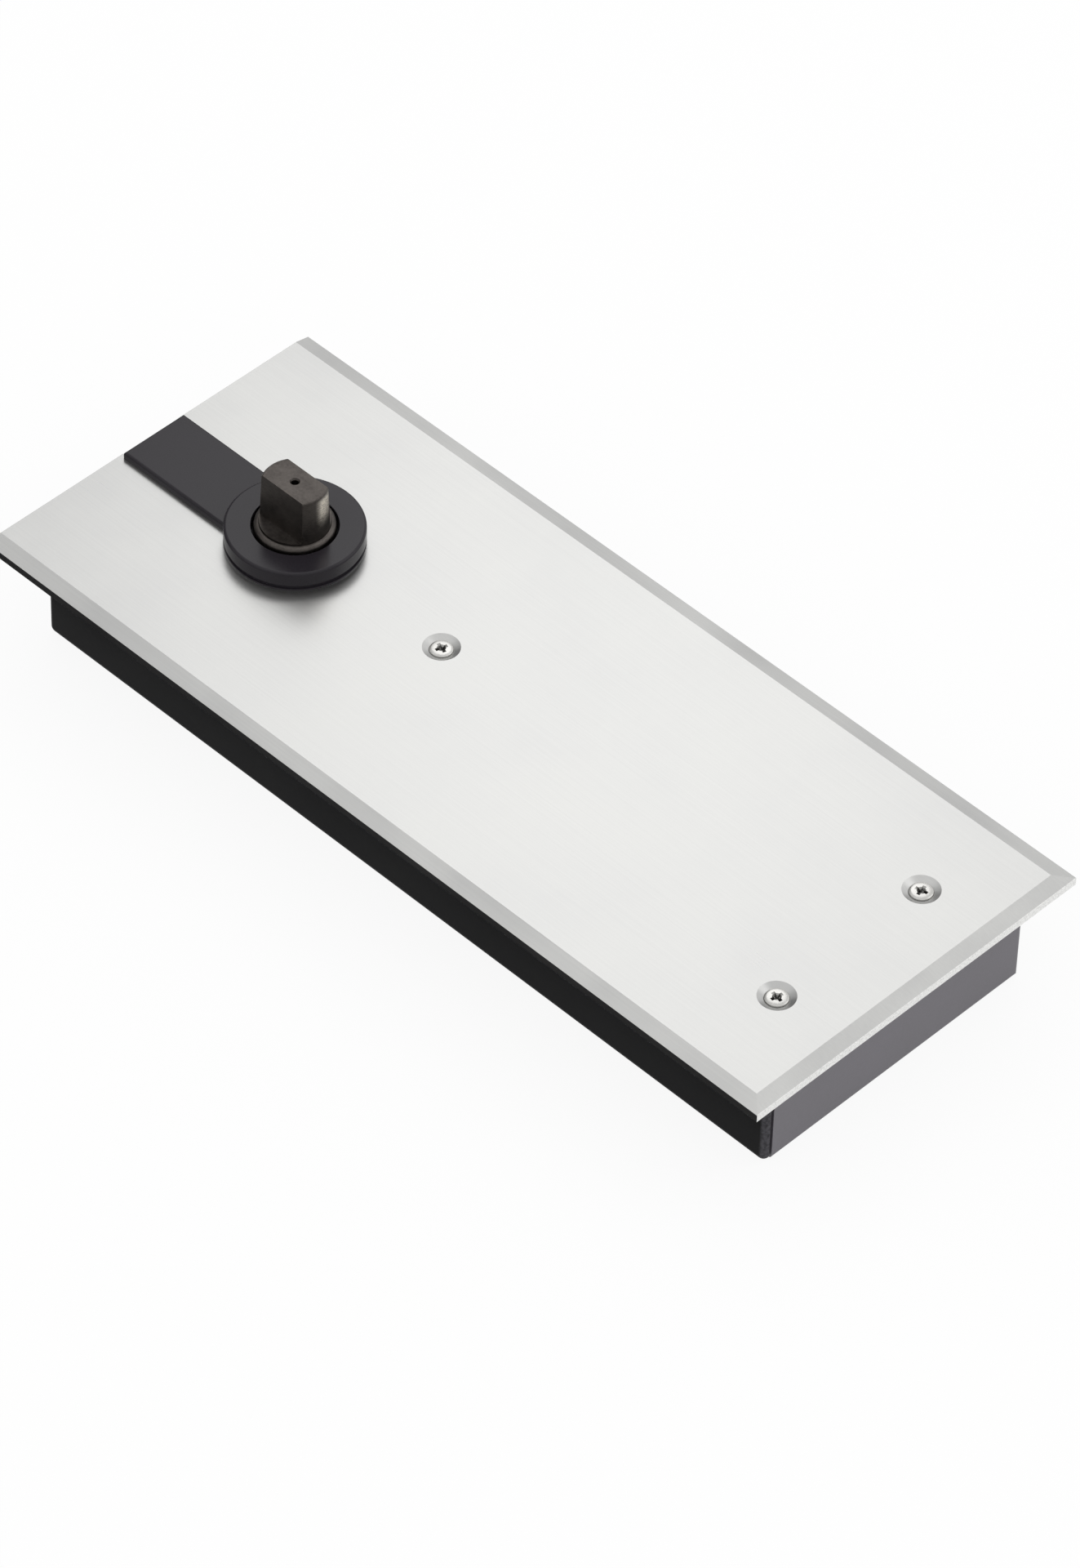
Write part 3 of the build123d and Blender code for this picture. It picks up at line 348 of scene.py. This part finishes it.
def turned(profile, closed=False, steps=ROUND_STEPS):
    """Spins a profile of (radius, height) points round the upright axis."""
    bm = bmesh.new()
    verts = [bm.verts.new((r, 0, z)) for r, z in profile]
    edges = [bm.edges.new(pair) for pair in zip(verts, verts[1:])]
    if closed:
        edges.append(bm.edges.new((verts[-1], verts[0])))
    bmesh.ops.spin(bm, geom=verts + edges, cent=(0, 0, 0), axis=UP, angle=math.tau, steps=steps, use_merge=True)
    bmesh.ops.remove_doubles(bm, verts=bm.verts, dist=1e-7)
    bmesh.ops.recalc_face_normals(bm, faces=bm.faces)
    return bm


def round_edges(bm, chosen, radius, segments=4):
    """Rounds the edges for which chosen(edge) holds."""
    bmesh.ops.bevel(bm, geom=[e for e in bm.edges if chosen(e)], offset=radius, offset_type="OFFSET",
                    affect="EDGES", segments=segments, profile=0.5, material=-1, clamp_overlap=True)


def ring_at(radius, height):
    """Chooser of the edges of a turned shape that lie on one circle."""
    def chosen(edge):
        return all(abs(v.co.z - height) < 1e-6 and abs(v.co.xy.length - radius) < 1e-6 for v in edge.verts)
    return chosen


def loose(bm, name):
    """Turns a bmesh into an object that isn't a piece yet."""
    bmesh.ops.recalc_face_normals(bm, faces=bm.faces)
    mesh = bpy.data.meshes.new(name)
    bm.to_mesh(mesh)
    bm.free()
    made = bpy.data.objects.new(name, mesh)
    bpy.context.scene.collection.objects.link(made)
    return made


def together(shapes):
    """One bmesh of several."""
    whole = bmesh.new()
    for shape in shapes:
        part = bpy.data.meshes.new("part")
        shape.to_mesh(part)
        shape.free()
        whole.from_mesh(part)
        bpy.data.meshes.remove(part)
    return whole


def carve(made, cutters, operation="DIFFERENCE"):
    """Cuts or joins other shapes to an object, keeps the result as its mesh and removes the others."""
    for cutter in cutters:
        cut = made.modifiers.new("cut", "BOOLEAN")
        cut.object = cutter
        cut.operation = operation
        cut.solver = "EXACT"
    graph = bpy.context.evaluated_depsgraph_get()
    mesh = bpy.data.meshes.new_from_object(made.evaluated_get(graph))
    if not mesh.polygons:
        raise RuntimeError(f"{made.name}: nothing is left after a cut")
    made.modifiers.clear()
    old, made.data = made.data, mesh
    bpy.data.meshes.remove(old)
    for cutter in cutters:
        bpy.data.meshes.remove(cutter.data)


def settle(made, body, slot, nodes, edge=0.0, sharp=32):
    """Makes an object a piece: soft edges, smooth faces, its body, slot and the nodes it stands for."""
    bm = bmesh.new()
    bm.from_mesh(made.data)
    bmesh.ops.remove_doubles(bm, verts=bm.verts, dist=2e-6)
    bmesh.ops.dissolve_limit(bm, angle_limit=math.radians(0.2), verts=bm.verts, edges=bm.edges)
    bm.to_mesh(made.data)
    bm.free()
    made.data.shade_smooth()
    made.data.set_sharp_from_angle(angle=math.radians(sharp))
    # The cuts leave a few very short edges, and Blender holds the rounding back to what they allow
    if edge:
        soft = made.modifiers.new("soft_edges", "BEVEL")
        soft.width = edge
        soft.segments = 2
        soft.limit_method = "ANGLE"
        soft.angle_limit = math.radians(sharp)
        soft.harden_normals = True
        even = made.modifiers.new("even_flats", "WEIGHTED_NORMAL")
        even.keep_sharp = True
    made.data.materials.clear()
    made.data.materials.append(bpy.data.materials[SLOT_MATERIAL[slot]])
    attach(made, body)
    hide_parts(*nodes)
    return made


def screw_places():
    """Middles of the three cover screws at floor level."""
    screws = bpy.context.scene.closer_screws
    rear = PLATE_HIGH.x - screws.rear_inset
    return [Vector((screws.front_x, 0, 0)), Vector((rear, screws.rear_spread, 0)),
            Vector((rear, -screws.rear_spread, 0))]


class CLOSER_OT_finishes(bpy.types.Operator):
    """Make the procedural finishes and put them on the packed parts"""
    bl_idname = "closer.finishes"
    bl_label = "Finishes"

    def execute(self, context):
        made = finishes()
        SLOT_MATERIAL.update({slot: material.name for slot, material in made.items()})
        for part in frame["record"]["subparts"]:
            slots = frame["nodes"][part["node"]].data.materials
            slots.clear()
            slots.append(made[part["material_slot"]])
        return {"FINISHED"}


class CLOSER_OT_cover_plate(bpy.types.Operator):
    """Bevelled stainless plate with keyhole slot and dished screw holes"""
    bl_idname = "closer.cover_plate"
    bl_label = "Cover plate"

    def execute(self, context):
        size = context.scene.closer_plate
        screws = context.scene.closer_screws
        rim = PLATE_HIGH.z - size.bevel_drop
        bm = cube(PLATE_LOW, (PLATE_HIGH.x, PLATE_HIGH.y, rim))
        top = [f for f in bm.faces if f.normal.z > 0.5]
        raised = [g for g in bmesh.ops.extrude_face_region(bm, geom=top)["geom"]
                  if isinstance(g, bmesh.types.BMVert)]
        bmesh.ops.delete(bm, geom=top, context="FACES_ONLY")
        full = PLATE_HIGH - PLATE_LOW
        shrink = (1 - size.bevel_width / full.x, 1 - 2 * size.bevel_width / full.y, 1)
        about = Matrix.Translation((-PLATE_LOW.x, 0, 0))
        bmesh.ops.scale(bm, vec=shrink, space=about, verts=raised)
        bmesh.ops.translate(bm, vec=UP * size.bevel_drop, verts=raised)
        plate = loose(bm, "cover_plate_brushed")
        over = OVERCUT
        hole = turned([(0, -over), (size.hole_radius, -over), (size.hole_radius, over), (0, over)])
        slot = cube((PLATE_LOW.x - over, -size.slot_width / 2, -over), (0, size.slot_width / 2, over))
        seat = PLATE_HIGH.z - size.dimple_depth
        foot = seat - (screws.head_radius - screws.shank_radius)
        clear = screws.shank_radius + 0.5 * MM
        bend = 0.35 * MM
        steep = (size.dimple_radius - screws.head_radius) / size.dimple_depth
        dishes = []
        for place in screw_places():
            dish = turned([(0, -over), (clear, -over), (clear, foot + 0.5 * MM), (screws.head_radius, seat),
                           (size.dimple_radius, PLATE_HIGH.z),
                           (size.dimple_radius + steep * over / 4, PLATE_HIGH.z + over / 4),
                           (0, PLATE_HIGH.z + over / 4)], steps=64)
            round_edges(dish, ring_at(screws.head_radius, seat), bend)
            bmesh.ops.translate(dish, vec=place, verts=dish.verts)
            dishes.append(dish)
        # The slot comes before the round hole, and the dishes are one cut, so that no cut
        # leaves an open face in a hole's wall
        carve(plate, [loose(slot, "slot"), loose(hole, "keyhole"), loose(together(dishes), "dishes")])
        settle(plate, "housing", "plate_stainless", ["cover_plate"], size.edge_radius, sharp=8)
        return {"FINISHED"}


class CLOSER_OT_cover_screws(bpy.types.Operator):
    """Three countersunk screws with a tapered cross recess"""
    bl_idname = "closer.cover_screws"
    bl_label = "Cover screws"

    def execute(self, context):
        size = context.scene.closer_screws
        seat = SCREW_HIGH.z
        edge = seat - size.crown
        foot = edge - (size.head_radius - size.shank_radius)
        point = SCREW_LOW.z
        turns = (-16, 12, -10)
        screws = []
        for place, turn in zip(screw_places(), turns):
            body = turned([(0, point), (size.shank_radius - 0.6 * MM, point),
                           (size.shank_radius, point + 0.8 * MM), (size.shank_radius, foot),
                           (size.head_radius, edge - 0.1 * MM), (size.head_radius, edge),
                           (size.head_radius * 0.97, edge + 0.55 * size.crown),
                           (size.head_radius * 0.9, edge + 0.78 * size.crown),
                           (size.head_radius * 0.78, edge + 0.9 * size.crown),
                           (size.head_radius * 0.6, edge + 0.97 * size.crown),
                           (size.head_radius * 0.35, seat), (0, seat)], steps=64)
            wings = []
            # One wing is a hair deeper than the other, so that no two floors share a plane
            for quarter, deeper in ((0, 0), (90, 0.05 * MM)):
                half = Vector((size.recess_span / 2, size.recess_width / 2, 0))
                wing = cube(-half - UP * (size.recess_depth + deeper), half + UP * (0.1 * MM + deeper))
                low = [v for v in wing.verts if v.co.z < 0]
                bmesh.ops.scale(wing, vec=(0.3, 0.6, 1), verts=low)
                bmesh.ops.rotate(wing, cent=(0, 0, 0), verts=wing.verts,
                                 matrix=Matrix.Rotation(math.radians(quarter + turn), 3, "Z"))
                bmesh.ops.translate(wing, vec=place + UP * seat, verts=wing.verts)
                wings.append(loose(wing, "wing"))
            bit = size.recess_width
            well = turned([(0, -size.recess_depth - 0.3 * MM), (bit * 0.4, -size.recess_depth), (bit * 1.2, 0),
                           (bit * 1.3, 0.5 * MM), (0, 0.5 * MM)], steps=32)
            bmesh.ops.translate(well, vec=place + UP * seat, verts=well.verts)
            wings.append(loose(well, "well"))
            bmesh.ops.translate(body, vec=place, verts=body.verts)
            screw = loose(body, "cover_screw")
            carve(screw, wings)
            screws.append(screw)
        bm = bmesh.new()
        for screw in screws:
            bm.from_mesh(screw.data)
        for screw in screws:
            bpy.data.meshes.remove(screw.data)
        group = loose(bm, "cover_screws_recessed")
        settle(group, "housing", "screw_stainless", ["cover_screws"], 0.08 * MM)
        return {"FINISHED"}


class CLOSER_OT_slot_filler(bpy.types.Operator):
    """Black cap: strap over the slot and raised disc with a grooved wall"""
    bl_idname = "closer.slot_filler"
    bl_label = "Keyhole cap"

    def execute(self, context):
        size = context.scene.closer_cap
        plate = PLATE_HIGH.z
        top = CAP_HIGH.z
        lip = plate + size.lip_height
        neck = size.disc_radius - size.groove_depth
        inner = size.spigot_radius - size.spigot_wall
        under = top - size.top_wall
        disc = turned([(size.hole_radius, under), (inner, under), (inner, 0), (size.spigot_radius, 0),
                       (size.spigot_radius, plate), (size.disc_radius, plate), (size.disc_radius, lip),
                       (neck, lip + 0.1 * size.groove), (neck, lip + 0.9 * size.groove),
                       (size.disc_radius, lip + size.groove), (size.disc_radius, top), (size.hole_radius, top)],
                      closed=True)
        round_edges(disc, ring_at(size.disc_radius, top), size.disc_edge, segments=6)
        round_edges(disc, ring_at(size.hole_radius, top), 0.3 * MM, segments=2)
        half = size.strap_width / 2
        reach = -math.sqrt(size.disc_radius ** 2 - half ** 2) + 3 * MM
        strap = cube((CAP_LOW.x, -half, plate), (reach, half, plate + size.strap_rise))
        rim = plate + size.strap_rise

        def upper(edge):
            return all(abs(v.co.z - rim) < 1e-6 for v in edge.verts) and not all(
                abs(v.co.x - reach) < 1e-6 for v in edge.verts)
        round_edges(strap, upper, size.strap_edge)
        slot = context.scene.closer_plate.slot_width / 2 - size.side_gap
        tongue = cube((CAP_LOW.x, -slot, 0), (-inner - 0.5 * MM, slot, plate + 0.5 * MM))
        cap = loose(disc, "slot_filler_cap")
        carve(cap, [loose(strap, "strap"), loose(tongue, "tongue")], "UNION")
        settle(cap, "housing", "black_cap", ["slot_filler"], 0.12 * MM)
        return {"FINISHED"}


class CLOSER_OT_spindle(bpy.types.Operator):
    """Flat-sided spindle with its collar"""
    bl_idname = "closer.spindle"
    bl_label = "Spindle"

    def execute(self, context):
        size = context.scene.closer_spindle
        foot, top = SPINDLE_LOW.z, SPINDLE_HIGH.z
        step = foot + size.journal_top
        collar = COLLAR_HIGH.z
        drill = top - size.centre_depth
        body = turned([(0, foot), (size.journal_radius, foot), (size.journal_radius, step),
                       (size.shaft_radius, step), (size.shaft_radius, size.shoulder),
                       (size.base_radius, size.shoulder), (size.base_radius, collar), (size.top_radius, top),
                       (size.centre_radius * 1.35, top), (size.centre_radius, top - size.centre_radius * 0.5),
                       (size.centre_radius, drill), (0, drill - size.centre_radius * 0.6)])
        round_edges(body, ring_at(size.top_radius, top), 0.6 * MM, segments=4)
        low = collar + size.flat_start
        reach = 2 * size.base_radius
        cutters = []
        for side in (-1, 1):
            wedge = cube((-reach, size.flat_base, low), (reach, reach, top + 2 * MM))
            lean = (size.flat_base - size.flat_top) / (top - low) * (top + 2 * MM - low)
            crest = [v for v in wedge.verts if v.co.z > top and v.co.y < reach - 1e-6]
            bmesh.ops.translate(wedge, vec=(0, -lean, 0), verts=crest)
            bmesh.ops.scale(wedge, vec=(1, side, 1), verts=wedge.verts)
            cutters.append(loose(wedge, "flat"))
        cutters.append(loose(cube(*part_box("cam_key")), "keyway"))
        spindle = loose(body, "spindle_burnished")
        carve(spindle, cutters)
        settle(spindle, "spindle", "spindle_steel", ["spindle"], size.edge_radius)
        low, high = COLLAR_LOW.z, COLLAR_HIGH.z
        outer = COLLAR_HIGH.x
        ring = turned([(size.base_radius, low), (outer, low), (outer, high), (size.base_radius, high)],
                      closed=True)
        round_edges(ring, ring_at(outer, high), size.collar_edge)
        round_edges(ring, ring_at(size.base_radius, high), 0.4 * MM, segments=2)
        settle(loose(ring, "spindle_collar_ring"), "spindle", "spindle_steel", ["spindle_collar"], 0.1 * MM)
        return {"FINISHED"}


class CLOSER_OT_springs(bpy.types.Operator):
    """Two square-wire springs with ground ends"""
    bl_idname = "closer.springs"
    bl_label = "Closing springs"

    def execute(self, context):
        size = context.scene.closer_springs
        per_turn = 36
        for node in ("near_spring", "far_spring"):
            low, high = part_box(node)
            middle = (low + high) / 2
            long = high.x - low.x
            mean = size.outer_radius - size.wire / 2
            steps = round((size.coils + size.wire * size.coils / long) * per_turn)
            bm = bmesh.new()
            bmesh.ops.create_grid(bm, x_segments=1, y_segments=1, size=size.wire / 2)
            bmesh.ops.bevel(bm, geom=bm.verts[:], offset=0.5 * MM, offset_type="OFFSET", affect="VERTICES",
                            segments=2, profile=0.5, material=-1)
            start = Vector((low.x - size.wire / 2, middle.y + mean, middle.z))
            bmesh.ops.translate(bm, vec=start, verts=bm.verts)
            bmesh.ops.spin(bm, geom=bm.faces[:] + bm.edges[:] + bm.verts[:], cent=middle, axis=(1, 0, 0),
                           dvec=(long / size.coils / per_turn, 0, 0), angle=math.tau * steps / per_turn,
                           steps=steps, use_merge=False)
            bmesh.ops.recalc_face_normals(bm, faces=bm.faces)
            for x, way in ((low.x, -1), (high.x, 1)):
                whole = bm.verts[:] + bm.edges[:] + bm.faces[:]
                cut = bmesh.ops.bisect_plane(bm, geom=whole, dist=1e-7, plane_co=(x, 0, 0), plane_no=(way, 0, 0),
                                             clear_outer=True)["geom_cut"]
                bmesh.ops.triangle_fill(bm, edges=[g for g in cut if isinstance(g, bmesh.types.BMEdge)],
                                        use_beauty=True)
            coil = settle(loose(bm, node + "_coil"), "housing", "spring_steel", [node])
            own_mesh(coil)
        return {"FINISHED"}


class CLOSER_OT_stage(bpy.types.Operator):
    """White floor, soft light and the camera"""
    bl_idname = "closer.stage"
    bl_label = "Stage"

    def execute(self, context):
        scene = context.scene
        look = scene.closer_stage
        bm = bmesh.new()
        bmesh.ops.create_grid(bm, x_segments=1, y_segments=1, size=12.0)
        bmesh.ops.translate(bm, vec=(0, 0, BOX_LOW.z - 0.2 * MM), verts=bm.verts)
        floor = loose(bm, "floor")
        white = linear("#f7f7f7")
        paper = bpy.data.materials.new("paper_backdrop_matt")
        paper.use_nodes = True
        tree = paper.node_tree
        tree.nodes.clear()
        # Plain white seen straight or in a reflection, with a share of lit paper that keeps the shadow
        share = add(tree, "ShaderNodeMath", {0: seen_ray(tree), 1: look.floor_glow}, operation="MULTIPLY")
        lit = add(tree, "ShaderNodeBsdfDiffuse", {"Color": white})
        glow = add(tree, "ShaderNodeEmission", {"Color": (1, 1, 1, 1), "Strength": 1.0})
        mixed = add(tree, "ShaderNodeMixShader", {0: share.outputs[0], 1: lit.outputs[0], 2: glow.outputs[0]})
        add(tree, "ShaderNodeOutputMaterial", {"Surface": mixed.outputs[0]})
        floor.data.materials.append(paper)

        world = bpy.data.worlds.new("studio")
        world.use_nodes = True
        tree = world.node_tree
        tree.nodes.clear()
        soft = add(tree, "ShaderNodeBackground", {"Color": (1, 1, 1, 1), "Strength": look.ambient})
        plain = add(tree, "ShaderNodeBackground", {"Color": (1, 1, 1, 1), "Strength": 1.0})
        mixed = add(tree, "ShaderNodeMixShader", {0: seen_ray(tree), 1: soft.outputs[0], 2: plain.outputs[0]})
        add(tree, "ShaderNodeOutputWorld", {"Surface": mixed.outputs[0]})
        scene.world = world

        # Grey cards round the object and a dark mat on the floor in front: only reflections show them, and they
        # keep the upright faces at the front and the walls of the dished rings dark
        sheet = bmesh.new()
        bmesh.ops.create_grid(sheet, x_segments=1, y_segments=1, size=1.0)
        bmesh.ops.translate(sheet, vec=(0.1, PLATE_LOW.y - 1.0, BOX_LOW.z + 0.2 * MM), verts=sheet.verts)
        cards = [(sheet, "dark_mat", look.mat)]
        for name, tone, away, height, start, sweep in (("grey_card", look.card, 2.2, 2.6, 150, 230),
                                                       ("left_card", look.skirt, 2.15, 1.2, 142, 68),
                                                       ("low_card", look.skirt, 2.1, 0.45, 95, 50)):
            wall = bmesh.new()
            rise = [wall.verts.new((away, 0, z)) for z in (BOX_LOW.z, height)]
            bmesh.ops.rotate(wall, cent=(0, 0, 0), verts=rise,
                             matrix=Matrix.Rotation(math.radians(start), 3, "Z"))
            bmesh.ops.spin(wall, geom=rise + [wall.edges.new(rise)], cent=(0, 0, 0), axis=UP,
                           angle=math.radians(sweep), steps=32, use_merge=False)
            cards.append((wall, name, tone))
        for shape, name, tone in cards:
            card = loose(shape, name)
            cloth = bpy.data.materials.new(name)
            cloth.use_nodes = True
            tree = cloth.node_tree
            tree.nodes.clear()
            glow = add(tree, "ShaderNodeEmission", {"Color": tone, "Strength": 1.0})
            add(tree, "ShaderNodeOutputMaterial", {"Surface": glow.outputs[0]})
            card.data.materials.append(cloth)
            card.visible_camera = False
            card.visible_diffuse = False
            card.visible_transmission = False
            card.visible_shadow = False

        # One soft box that the flat of the plate mirrors into the camera, and one that the end-on faces mirror
        boxes = (("soft_box_back", look.key, 0.75, 1.8, (0.19, -0.01, 0), (-0.484, 0.506, 0.714)),
                 ("soft_box_side", look.side, 1.05, 2.0, (0, 0, 0), (0.45, 0.55, 0.7)))
        for name, power, size, away, aim, way in boxes:
            way = Vector(way).normalized()
            lamp = bpy.data.lights.new(name, "AREA")
            lamp.shape = "DISK"
            lamp.size = size
            lamp.energy = power
            box = bpy.data.objects.new(name, lamp)
            box.location = Vector(aim) + way * away
            box.rotation_mode = "QUATERNION"
            box.rotation_quaternion = (-way).to_track_quat("-Z", "Y")
            scene.collection.objects.link(box)

        lens = bpy.data.cameras.new("camera")
        lens.sensor_fit = "AUTO"
        lens.sensor_width = 36.0
        lens.lens = CAMERA_LENS
        lens.clip_start, lens.clip_end = 0.05, 100.0
        camera = bpy.data.objects.new("camera", lens)
        camera.location = CAMERA_PLACE
        camera.rotation_euler = [math.radians(a) for a in CAMERA_TURN]
        scene.collection.objects.link(camera)
        scene.camera = camera
        scene.view_settings.view_transform = "Standard"
        return {"FINISHED"}


class CLOSER_PT_panel(bpy.types.Panel):
    """Lists the closer's sizes and its steps"""
    bl_idname = "CLOSER_PT_panel"
    bl_label = "Floor closer"
    bl_space_type = "VIEW_3D"
    bl_region_type = "UI"
    bl_category = "Floor closer"

    def draw(self, context):
        for name, group in GROUPS.items():
            box = self.layout.box()
            box.label(text=group.__doc__)
            for key in group.__annotations__:
                box.prop(getattr(context.scene, name), key)
        for step in STEPS:
            self.layout.operator(step.bl_idname)


STEPS = (CLOSER_OT_finishes, CLOSER_OT_cover_plate, CLOSER_OT_cover_screws, CLOSER_OT_slot_filler,
         CLOSER_OT_spindle, CLOSER_OT_springs, CLOSER_OT_stage)
CLASSES = (*GROUPS.values(), *STEPS, CLOSER_PT_panel)


def register():
    for cls in CLASSES:
        bpy.utils.register_class(cls)
    for name, group in GROUPS.items():
        setattr(bpy.types.Scene, name, bpy.props.PointerProperty(type=group))


def unregister():
    for name in GROUPS:
        delattr(bpy.types.Scene, name)
    for cls in reversed(CLASSES):
        bpy.utils.unregister_class(cls)


def main():
    register()
    bpy.ops.closer.finishes()
    bpy.ops.closer.cover_plate()
    bpy.ops.closer.cover_screws()
    bpy.ops.closer.slot_filler()
    bpy.ops.closer.spindle()
    bpy.ops.closer.springs()
    bpy.ops.closer.stage()


if __name__ == "__main__":
    main()
